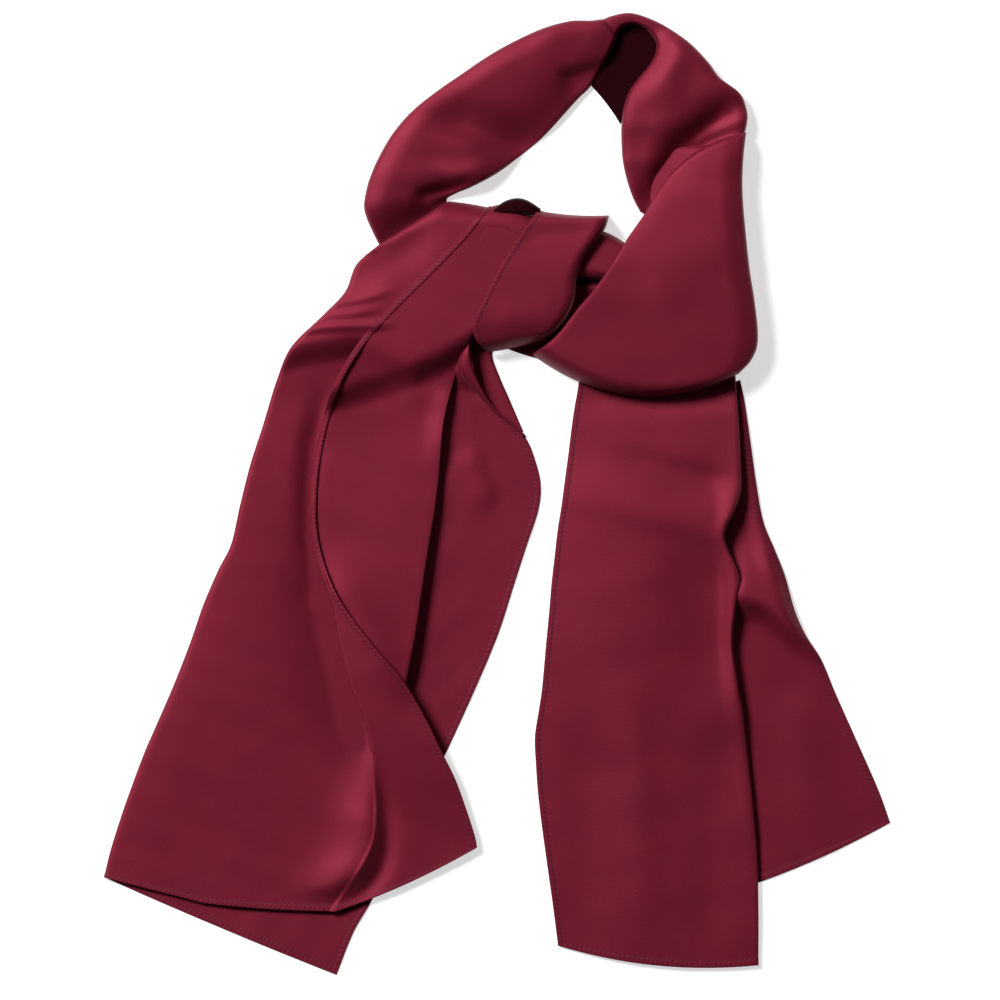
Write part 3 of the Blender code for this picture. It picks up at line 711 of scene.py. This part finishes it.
def hem_marks(grid, hems):
    """Which points belong to a hem, and the rows or columns that carry its stitches."""
    steps, thick = len(HEM["full"]), HEM["full"]
    weight = np.zeros(grid.shape[:2])
    seams = []
    if "left" in hems:
        weight[:, :steps] = np.maximum(weight[:, :steps], thick)
        seams.append((slice(None), STITCHED))
    if "right" in hems:
        weight[:, -steps:] = np.maximum(weight[:, -steps:], thick[::-1])
        seams.append((slice(None), -STITCHED - 1))
    if "end" in hems:
        weight[-steps:] = np.maximum(weight[-steps:], thick[::-1, None])
        seams.append((-STITCHED - 1, slice(None)))
    return weight, seams


def pleat_of(closed, tall, leg, steps=8):
    """The pleat's S in section, from its lower to its upper layer: along, up."""
    turned = math.pi * min(max(closed, 0.12), 1.0)
    leg = min(max(leg - tall / 2, 0.3 * tall), 0.6 * tall / max(math.sin(turned), 0.001))
    radius = (tall - leg * math.sin(turned)) / (2 * (1 - math.cos(turned)))
    ahead = np.array([math.cos(turned), math.sin(turned)])
    half = [ahead * leg * t for t in np.linspace(0.04, 0.5, 10)]
    centre = half[-1] + radius * np.array([math.sin(turned), -math.cos(turned)])
    for part in np.linspace(1, 0, steps + 1)[1:]:
        a = turned * part
        half.append(centre + radius * np.array([-math.sin(a), math.cos(a)]))
    whole = [-p for p in half[::-1]] + half
    return [(p[0], p[1] + tall / 2) for p in whole]


def pleated_row(s, up):
    """One row over the left tail's front: its rolled side, the lower layer, the pleat's S
    and the upper layer to the hem.

    Gives each point's place, its part of the height and how far it lies above the lower
    layer, and then how far each point has come from the lower layer to the upper one.
    """
    side, mid, turn, crease, edge = (
        np.array([s[n + "_x"], s[n + "_y"]]) for n in ("side", "mid", "turn", "crease", "hem")
    )
    inward = (mid - side) / np.hypot(*(mid - side))
    onward = (turn - mid) / np.hypot(*(turn - mid))
    beside = np.array([-onward[1], onward[0]])
    swell = beside * s["hump"]

    radius = min(SIDE_ROLL, 0.55 * float(pile(*(side + inward * 8))))
    away, parts = side_roll(np.array([radius]), np.array([curl_at(s["curl"], up)]))
    row = [(side + inward * (d + 0.3), p, 0.0) for d, p in zip(away[0], parts[0])]
    start = side + inward * (radius + 0.3)
    row += [(start + (mid - start) * t, 1.0, 0.0) for t in np.linspace(0, 1, 24)[:-1]]

    leg = float(np.dot(turn - crease, onward))
    line = (turn - crease) / leg if leg > 5 else onward
    leg = max(leg, 1.0)
    pleat = pleat_of(s["closed"], 2 * LAYER * s["thick"], leg)
    folded = []
    for over, rise in pleat:
        v = min(max(0.5 - over / leg, 0.0), 1.0) if s["hump"] > 0 else 0.0
        folded.append(((turn + crease) / 2 + line * over + swell * 4 * v * (1 - v), 1.0, rise))
    bottom, top = folded[0][0], folded[-1][0]
    for v in np.linspace(0, 1, 25)[:-1]:
        row.append((mid + (bottom - mid) * v + swell * 1.4 * v * (1 - v), 1.0, 0.0))
    row += folded

    wide = float(np.hypot(*(edge - top)))
    strip = np.minimum(hem_steps()[::-1], 0.8 * wide)
    ways = np.concatenate([np.linspace(0, wide - strip[0], 25)[1:-1], wide - strip])
    for v in ways / wide:
        place = top + (edge - top) * v
        if s["hump"] < 0:
            place = place + swell * 4 * v * (1 - v)
        elif wide < 0.5 * leg:
            back = 0.5 - (pleat[-1][0] + wide * v) / leg
            place = (turn + crease) / 2 + line * (0.5 - back) * leg
            place = place + swell * 4 * back * (1 - back)
        row.append((place, 1.0, pleat[-1][1]))

    nest = beside * math.sqrt(max(1 - up * up, 0.0))
    plan = np.array([place + nest * rise for place, part, rise in row])
    part, rise = (np.array([point[n] for point in row]) for n in (1, 2))
    shift = (np.arange(len(row)) - len(row) + len(ways) + len(pleat)) / len(pleat)
    return plan, part, rise, smooth(shift)


def lay_left_front():
    """Points of the left tail's front, with its pleat folded as far as it is closed."""
    sections = placed(LEFT_TAIL_FRONT, "side", "turn")
    grid = []
    for at, up in zip(*rows_along(sections["place"][-1], LEFT_TAIL_HEAD, 0.0, True)):
        s = {n: c[0] for n, c in blend(sections, np.array([at])).items()}
        plan, part, rise, shift = pleated_row(s, up)
        x, y = plan.T
        low = pile(x, y)
        low = low + (pile(x, y, True) - low) * shift
        folds = relief(x, y, LEFT_TAIL_FOLDS) + creases(x, y, 3)
        folds = folds + relief(x, y, LEFT_LOWER_FOLDS) * (1 - shift)
        folds = folds + relief(x, y, LEFT_UPPER_FOLDS) * shift
        high = np.maximum(low + folds * part, LOWEST_TOP)
        # The left side stands a little lower than the rest, and at the knot the cloth
        # comes down on the loop's side, not on the floor.
        inward = np.hypot(x - s["side_x"], y - s["side_y"]) / 30
        part = part * (1 - 0.16 * (1 - np.sin(0.5 * math.pi * np.clip(inward, 0, 1))))
        foot = 11.5 * (1 - smooth((x + 42) / 8)) * (1 - smooth((at - 5) / 14))
        foot = FLOOR + foot * smooth((x + 98) / 12)
        z = foot + (high - foot) * part * up + rise * up
        grid.append(np.stack([x, y, z], 1))
    grid = np.array(grid)
    return {"grid": grid, "hem": hem_marks(grid, "right end")}


def normals_of(grid):
    """The direction across the cloth at each point, up where the cloth lies flat."""
    normal = np.cross(np.gradient(grid, axis=0), np.gradient(grid, axis=1))
    normal /= np.maximum(np.linalg.norm(normal, axis=2, keepdims=True), 1e-9)
    return normal if normal[..., 2].mean() > 0 else -normal


def area_of(grid):
    """Area of the cloth in square metres."""
    a = grid[1:, 1:] - grid[:-1, :-1]
    b = grid[1:, :-1] - grid[:-1, 1:]
    return float(np.linalg.norm(np.cross(a, b), axis=2).sum() / 2 * MM * MM)


class Socket:
    """A value in a shader: one output of a node, ready for sums with others."""

    def __init__(self, shader, output):
        self.shader, self.output = shader, output

    def math(self, operation, *values):
        """A Math node with these values or sockets."""
        inputs = {i: value for i, value in enumerate(values)}
        return self.shader.node("ShaderNodeMath", {"operation": operation}, inputs)

    def __add__(self, other):
        return self.math("ADD", self, other)

    def __sub__(self, other):
        return self.math("SUBTRACT", self, other)

    def __rsub__(self, other):
        return self.math("SUBTRACT", other, self)

    def __mul__(self, other):
        return self.math("MULTIPLY", self, other)

    __radd__ = __add__
    __rmul__ = __mul__

    def wave(self, length):
        """A sine wave of this length along the value."""
        return self.math("SINE", self * (2 * math.pi / length))

    def within(self, low, high):
        """0 below low and 1 above high, on a smooth step."""
        inputs = {"Value": self, "From Min": low, "From Max": high}
        settings = {"interpolation_type": "SMOOTHSTEP"}
        return self.shader.node("ShaderNodeMapRange", settings, inputs)


class Shader:
    """A material and its node tree."""

    def __init__(self, name):
        self.material = bpy.data.materials.new(name)
        self.material.use_nodes = True
        self.tree = self.material.node_tree
        self.tree.nodes.clear()

    def node(self, kind, settings=None, inputs=None, output=0):
        """Adds a node with its settings, and the value or link of each named socket."""
        made = self.tree.nodes.new(kind)
        for name, value in (settings or {}).items():
            setattr(made, name, value)
        for name, value in (inputs or {}).items():
            if isinstance(value, Socket):
                self.tree.links.new(value.output, made.inputs[name])
            else:
                made.inputs[name].default_value = value
        return Socket(self, made.outputs[output] if made.outputs else None)

    def noise(self, place, scale, detail=2.0):
        """Soft noise over a place."""
        inputs = {"Vector": place, "Scale": scale, "Detail": detail}
        return self.node("ShaderNodeTexNoise", None, inputs)

    def map_parts(self, name):
        """A UV map as a whole, and its two parts across and along."""
        place = self.node("ShaderNodeUVMap", {"uv_map": name})
        across = self.node("ShaderNodeSeparateXYZ", None, {"Vector": place}, "X")
        return place, across, Socket(self, across.output.node.outputs["Y"])

    def mix(self, factor, first, second):
        """A colour between two others: a Mix node's inputs 6 and 7, and its output 2."""
        inputs = {0: factor, 6: (*first, 1.0), 7: (*second, 1.0)}
        return self.node("ShaderNodeMix", {"data_type": "RGBA"}, inputs, 2)

    def surface(self, **inputs):
        """Closes the material with a Principled surface."""
        inputs = {name.replace("_", " "): value for name, value in inputs.items()}
        made = self.node("ShaderNodeBsdfPrincipled", None, inputs)
        self.node("ShaderNodeOutputMaterial", None, {"Surface": made})
        return self.material


def silk(name="burgundy_silk", shade=1.0, gloss=1.0):
    """Satin: fine weave, slubs along the weft, a soft broad gloss and puckered hems."""
    scarf = scarf_settings()
    s = Shader(name)
    place, across, along = s.map_parts("cloth")
    _, edge, far = s.map_parts("hem")

    slow = s.noise(place, 28.0, 3.0) - 0.5
    drawn = s.node("ShaderNodeMapping", None, {"Vector": place, "Scale": (60.0, 2600.0, 1.0)})
    slub = s.noise(drawn, 1.0) - 0.5
    fine = s.noise(place, 950.0, 1.0) - 0.5
    weave = along.wave(WEFT) * 0.5 + across.wave(WARP) * 0.35 + slub * 1.6

    pucker = far.wave(scarf.stitch_spacing) * edge
    seam = edge.within(0.02, 0.2) * (1 - edge.within(0.5, 0.9))

    tone = slow * 0.6 + slub * 0.4 + fine * 1.3 + 0.5
    # The hem is lighter and darker in step with its puckers and darker in the dip at its stitch
    # line: painted light and shade. The whole hem is also a little darker.
    tone = tone + pucker * 0.16 - seam * 0.8 - edge * 0.2
    colour = np.array(scarf.silk_colour) * shade
    base = s.mix(tone, colour * (0.8, 0.8, 0.97), colour * (1.2, 1.2, 1.04))
    rough = slow * 0.12 + slub * 0.1 + scarf.silk_roughness
    height = weave * 0.16 + pucker * 0.3 - seam * 0.8
    return s.surface(
        Base_Color=base,
        Roughness=rough,
        Metallic=0.5,
        Specular_IOR_Level=0.22 * gloss,
        Sheen_Weight=0.05 * gloss,
        Sheen_Roughness=0.45,
        Sheen_Tint=(0.9, 0.42, 0.5, 1.0),
        Normal=s.node("ShaderNodeBump", None, {"Height": height, "Distance": 0.00012}),
    )


def silk_painted_shade():
    """A much darker and duller copy of the satin: painted shade for the deep hollow of the loop
    and for the underside at the knot's crest.
    """
    return silk("burgundy_silk_painted_shade", 0.1, 0.2)


def thread():
    """Sewing thread, a little darker than the silk, with its twist."""
    s = Shader("burgundy_thread")
    colour = np.array(scarf_settings().thread_colour)
    place = s.node("ShaderNodeTexCoord", output="Object")
    twist = s.noise(place, 2500.0)
    bump = {"Height": twist, "Strength": 0.3, "Distance": 0.0001}
    return s.surface(
        Base_Color=s.mix(twist, colour * 0.7, colour * 1.4),
        Roughness=twist * 0.2 + 0.45,
        Normal=s.node("ShaderNodeBump", None, bump),
    )


def floor_paper():
    """The plain pale surface under the scarf, which glows a little: painted light that keeps the
    shadows on it faint.
    """
    s = Shader("pale_floor")
    colour = np.array(scarf_settings().floor_colour)
    place = s.node("ShaderNodeTexCoord", output="Object")
    return s.surface(
        Base_Color=s.mix(s.noise(place, 60.0), colour * 0.995, colour * 1.005),
        Roughness=0.85,
        Specular_IOR_Level=0.1,
        Emission_Color=(1.0, 1.0, 1.0, 1.0),
        Emission_Strength=0.6,
    )


def material(maker, name):
    """The material of that name, made when it is first asked for."""
    return bpy.data.materials.get(name) or maker()


def new_mesh(name, points, faces, surface):
    """A smooth mesh object in the scene, from points in millimetres."""
    data = bpy.data.meshes.new(name)
    data.from_pydata((np.asarray(points) * MM).tolist(), [], faces)
    data.shade_smooth()
    thing = bpy.data.objects.new(name, data)
    bpy.context.scene.collection.objects.link(thing)
    data.materials.append(surface)
    return thing


def add_stitch(points, faces, here, way, up, half):
    """One short thread that lies half sunk in the cloth, with its two ends closed."""
    first, side, n = len(points), np.cross(way, up), THREAD_SIDES
    for along, size in STITCH_SHAPE:
        dip = -THREAD_DIP * along * along
        for a in np.linspace(0, 2 * math.pi, n + 1)[:-1]:
            points.append(
                here
                + way * along * half
                + side * THREAD_WIDTH * size * math.cos(a)
                + up * (THREAD_HEIGHT * size * math.sin(a) + THREAD_LIFT + dip)
            )
    for i in range(len(STITCH_SHAPE) - 1):
        for j in range(n):
            a, b = first + i * n + j, first + i * n + (j + 1) % n
            faces.append((a, b, b + n, a + n))
    faces.append(tuple(range(first + n - 1, first - 1, -1)))
    faces.append(tuple(range(len(points) - n, len(points))))


def sew(name, lines):
    """Stitches along lines of points, each line with the directions up from the cloth."""
    scarf = scarf_settings()
    gap, half = scarf.stitch_spacing / MM, scarf.stitch_length / MM / 2
    points, faces = [], []
    for line, normal in lines:
        steps = np.linalg.norm(np.diff(line, axis=0), axis=1)
        far = np.concatenate([[0.0], np.cumsum(steps)])
        for at in np.arange(gap, far[-1] - gap, gap):
            here, on, up = (
                np.array([np.interp(a, far, of[:, i]) for i in range(3)])
                for a, of in ((at, line), (at + 0.2, line), (at, normal))
            )
            way = (on - here) / max(np.linalg.norm(on - here), 1e-9)
            add_stitch(points, faces, here, way, up, half)
    thing = new_mesh(name, points, faces, material(thread, "burgundy_thread"))
    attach(thing, "root")
    return thing


def grid_faces(grid):
    """The grid's squares, each facing up where the cloth lies flat."""
    tall, wide = grid.shape[:2]
    if np.cross(grid[1, 0] - grid[0, 0], grid[0, 1] - grid[0, 0])[2] < 0:
        corners = (0, 1, wide + 1, wide)
    else:
        corners = (0, wide, wide + 1, 1)
    index = (np.arange(tall - 1)[:, None] * wide + np.arange(wide - 1)[None]).ravel()
    return (index[:, None] + np.array(corners)[None]).tolist()


def put_map(data, name, across, along):
    """A UV map with two values for each point of the mesh."""
    values = np.stack([across, along], 2).reshape(-1, 2)
    corners = np.empty(len(data.loops), np.int32)
    data.loops.foreach_get("vertex_index", corners)
    data.uv_layers.new(name=name).data.foreach_set("uv", values[corners].ravel())


def thicken(thing, weight):
    """Gives the cloth its thickness, and its hems theirs."""
    scarf = scarf_settings()
    group = thing.vertex_groups.new(name="hem")
    for i, w in enumerate(weight.ravel()):
        if w > 0:
            group.add([i], float(w), "REPLACE")
    shell = thing.modifiers.new("cloth thickness", "SOLIDIFY")
    shell.thickness, shell.offset = scarf.hem_thickness, 0.0
    shell.vertex_group = "hem"
    shell.thickness_vertex_group = scarf.cloth_thickness / scarf.hem_thickness


def make(name, laid, nodes, seams=True, painted_shade=False):
    """A shell of silk over the points, with its hems, its stitches and its UV maps.

    The map "cloth" is the cloth laid flat. The map "hem" has how full the hem is and the
    distance along it.
    """
    grid = laid["grid"]
    tall, wide = grid.shape[:2]
    weight, stitched = laid["hem"]
    # The much darker copy of the silk paints deep shade onto the shell where it is asked for.
    side = (silk_painted_shade, "burgundy_silk_painted_shade") if painted_shade else (silk, "burgundy_silk")
    thing = new_mesh(name, grid.reshape(-1, 3), grid_faces(grid), material(*side))
    over = np.linalg.norm(np.diff(grid, axis=1), axis=2)
    down = np.linalg.norm(np.diff(grid, axis=0), axis=2)
    across = np.concatenate([np.zeros((tall, 1)), np.cumsum(over, 1)], 1)
    across = across - across[:, wide // 2][:, None]
    along = np.concatenate([np.zeros((1, wide)), np.cumsum(down, 0)], 0)
    put_map(thing.data, "cloth", across * MM, along * MM)
    far = along.copy()
    if weight[-3, wide // 2] > 0:
        # The end hem's stitches run across the cloth, and the distance with them.
        far[-len(HEM["step"]) :] = across[-len(HEM["step"]) :]
    put_map(thing.data, "hem", weight, far * MM)
    thicken(thing, weight)
    normal = normals_of(grid)
    half = scarf_settings().cloth_thickness / MM * 0.5
    lines = [(grid[s] + normal[s] * half, normal[s]) for s in stitched]
    sewn = [sew(name + "_stitches", lines)] if lines and seams else []
    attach(thing, "root")
    if nodes:
        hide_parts(*nodes)
    area_of(grid)


class Piece(bpy.types.Operator):
    """Makes one part of the scene"""

    bl_options = {"REGISTER", "UNDO"}


class SCARF_OT_left_tail(Piece):
    """Left tail: its folded front with the long pleat, and its back"""

    bl_idname = "scarf.left_tail"
    bl_label = "Left tail"

    def execute(self, context):
        front = ["left_tail_front", "left_tail_filling"]
        make("left_tail_front_cloth", lay_left_front(), front)
        back = lay(LEFT_TAIL_BACK, LEFT_BACK_FOLDS, "right end", seed=5)
        make("left_tail_back_cloth", back, ["left_tail_back"])
        return {"FINISHED"}


class SCARF_OT_right_tail(Piece):
    """Right tail: its folded front, and its back spread to the right"""

    bl_idname = "scarf.right_tail"
    bl_label = "Right tail"

    def execute(self, context):
        down = feet((0, 0.5, 3), (0.2, 0.5, 6), (0.38, 0.5, 6), (0.55, 0.5, 3), (1, 0.5, 2.4))
        rise = {"roll": 2.0, "shoulder": (0.35, 110, 1, 1)}
        front = lay(RIGHT_TAIL_FRONT, RIGHT_FRONT_FOLDS, "left end", feet=down, seed=6, **rise)
        make("right_tail_front_cloth", front, ["right_tail_front", "right_tail_filling"])
        rise = {"shoulder": (1, 1, 0.3, 10)}
        back = lay(RIGHT_TAIL_BACK, RIGHT_BACK_FOLDS, "right end", seed=7, **rise)
        make("right_tail_back_cloth", back, ["right_tail_back"])
        return {"FINISHED"}


class SCARF_OT_loop(Piece):
    """Loop: its two sides, the floor of the hollow between them and the wide band"""

    bl_idname = "scarf.loop"
    bl_label = "Loop"

    def execute(self, context):
        rise = {"roll": 2.5, "shoulder": (0.75, 16, 0.7, 22)}
        left = lay(LOOP_LEFT, LOOP_LEFT_FOLDS, seed=8, closed=True, **rise)
        make("loop_left_cloth", left, ["loop_left", "loop_left_filling"])
        rise = {"roll": 2.5, "shoulder": (0.8, 12, 0.7, 20), "feet": feet((0, 1.4, 1.4))}
        crown = lay(LOOP_CROWN, LOOP_CROWN_FOLDS, seed=9, closed=True, **rise)
        make("loop_crown_cloth", crown, ["loop_crown", "loop_crown_filling"])
        lining = lay(LOOP_LINING, seed=10)
        # The hollow's floor is drawn in the much darker silk, as painted shade.
        make("loop_lining_cloth", lining, ["loop_lining"], painted_shade=True)
        down = feet((0, 11, 11), (0.07, 11, 11), (0.16, 0.5, 0.5), (0.85, 0.5, 0.5), (1, 1.5, 13))
        rise = {"head": 2.5, "end": 9.0, "roll": 2.0, "shoulder": (1, 1, 0.78, 16)}
        right = lay(LOOP_RIGHT, LOOP_RIGHT_FOLDS, feet=down, seed=11, closed=True, **rise)
        make("loop_right_cloth", right, ["loop_right", "loop_right_filling"])
        return {"FINISHED"}


class SCARF_OT_knot(Piece):
    """Knot: the strand over it, those beside and under it, its crest and its lip"""

    bl_idname = "scarf.knot"
    bl_label = "Knot"

    def execute(self, context):
        rise = {"head": 7.0, "end": 6.5, "roll": 2.0, "shoulder": (1, 1, 0.85, 8)}
        band = lay(KNOT_BAND, BAND_FOLDS, "left", feet=feet((0, 4.9, 0.5)), seed=12, **rise)
        make("knot_band_cloth", band, ["knot_band", "knot_filling"])
        make("knot_under_cloth", lay(KNOT_UNDER, seed=17), [])
        strand = lay(KNOT_STRAND, STRAND_FOLDS, head=5.0, seed=13)
        make("knot_strand_cloth", strand, ["knot_strand"])
        lower = lay(KNOT_LOWER_STRAND, seed=14)
        make("knot_lower_strand_cloth", lower, ["knot_lower_strand"])
        crest = lay(KNOT_CREST, seed=16, feet=feet((0, 6, 14.5)))
        # The crest is drawn in the much darker silk, as painted shade.
        make("knot_crest_cloth", crest, [], painted_shade=True)
        lip = lay(KNOT_LIP, seed=15, shoulder=(0.6, 6, 1, 1))
        make("knot_lip_cloth", lip, [], seams=False)
        return {"FINISHED"}


class SCARF_OT_stage(Piece):
    """Studio: the pale floor, the soft lights and the camera above"""

    bl_idname = "scarf.stage"
    bl_label = "Studio"

    def execute(self, context):
        scene = context.scene
        size = FLOOR_SIZE / 2
        corners = [(-size, -size, 0), (size, -size, 0), (size, size, 0), (-size, size, 0)]
        floor = new_mesh("floor", corners, [(0, 1, 2, 3)], material(floor_paper, "pale_floor"))
        camera = bpy.data.cameras.new("camera")
        camera.lens, camera.sensor_width = LENS, SENSOR
        camera.clip_start, camera.clip_end = 0.1, 60.0
        above = bpy.data.objects.new("camera", camera)
        above.location = (*VIEW_CENTRE, VIEW_WIDTH * LENS / SENSOR)
        scene.collection.objects.link(above)
        scene.camera = above
        lights = table(
            "x y z size power",
            (-3.0, 2.65, 3.75, 2.0, 1.0),
            (-3.6, 0.4, 1.8, 2.4, 0.02),
            (0.4, 3.7, 2.0, 2.4, 0.05),
            (3.6, 1.0, 2.0, 2.4, 0.02),
            (0.2, -3.6, 2.2, 2.4, 0.006),
        )
        names = ("key_light", "left_light", "top_light", "right_light", "front_light")
        for i, name in enumerate(names):
            light = bpy.data.lights.new(name, "AREA")
            light.shape, light.size = "DISK", lights["size"][i]
            light.energy = scarf_settings().key_power * lights["power"][i]
            lamp = bpy.data.objects.new(name, light)
            lamp.location = [lights[n][i] for n in "xyz"]
            lamp.rotation_euler = (-lamp.location).to_track_quat("-Z", "Y").to_euler()
            scene.collection.objects.link(lamp)
        world = bpy.data.worlds.new("studio")
        world.use_nodes = True
        sky = world.node_tree.nodes["Background"]
        sky.inputs["Color"].default_value = (0.95, 0.97, 1.0, 1.0)
        sky.inputs["Strength"].default_value = 0.02
        scene.world = world
        scene.view_settings.view_transform = "Standard"
        scene.view_settings.look = "None"
        return {"FINISHED"}


class SCARF_PT_panel(bpy.types.Panel):
    """The scarf's pieces and sizes"""

    bl_label = "Silk Scarf"
    bl_idname = "SCARF_PT_panel"
    bl_space_type = "VIEW_3D"
    bl_region_type = "UI"
    bl_category = "Scarf"

    def draw(self, context):
        for name in scarf_settings().bl_rna.properties.keys():
            if name not in ("rna_type", "name"):
                self.layout.prop(scarf_settings(), name)
        for piece in PIECES:
            self.layout.operator(piece.bl_idname)


PIECES = (
    SCARF_OT_stage,
    SCARF_OT_left_tail,
    SCARF_OT_right_tail,
    SCARF_OT_loop,
    SCARF_OT_knot,
)
CLASSES = (ScarfSettings, *PIECES, SCARF_PT_panel)


def register():
    """Adds the scarf's operators and panel, and its settings to the scene."""
    for made in CLASSES:
        bpy.utils.register_class(made)
    bpy.types.Scene.silk_scarf = PointerProperty(type=ScarfSettings)


def unregister():
    """Takes away what register added."""
    del bpy.types.Scene.silk_scarf
    for made in reversed(CLASSES):
        bpy.utils.unregister_class(made)


def main():
    """Makes the studio and the scarf."""
    register()
    bpy.ops.scarf.stage()
    bpy.ops.scarf.left_tail()
    bpy.ops.scarf.right_tail()
    bpy.ops.scarf.loop()
    bpy.ops.scarf.knot()


if __name__ == "__main__":
    main()
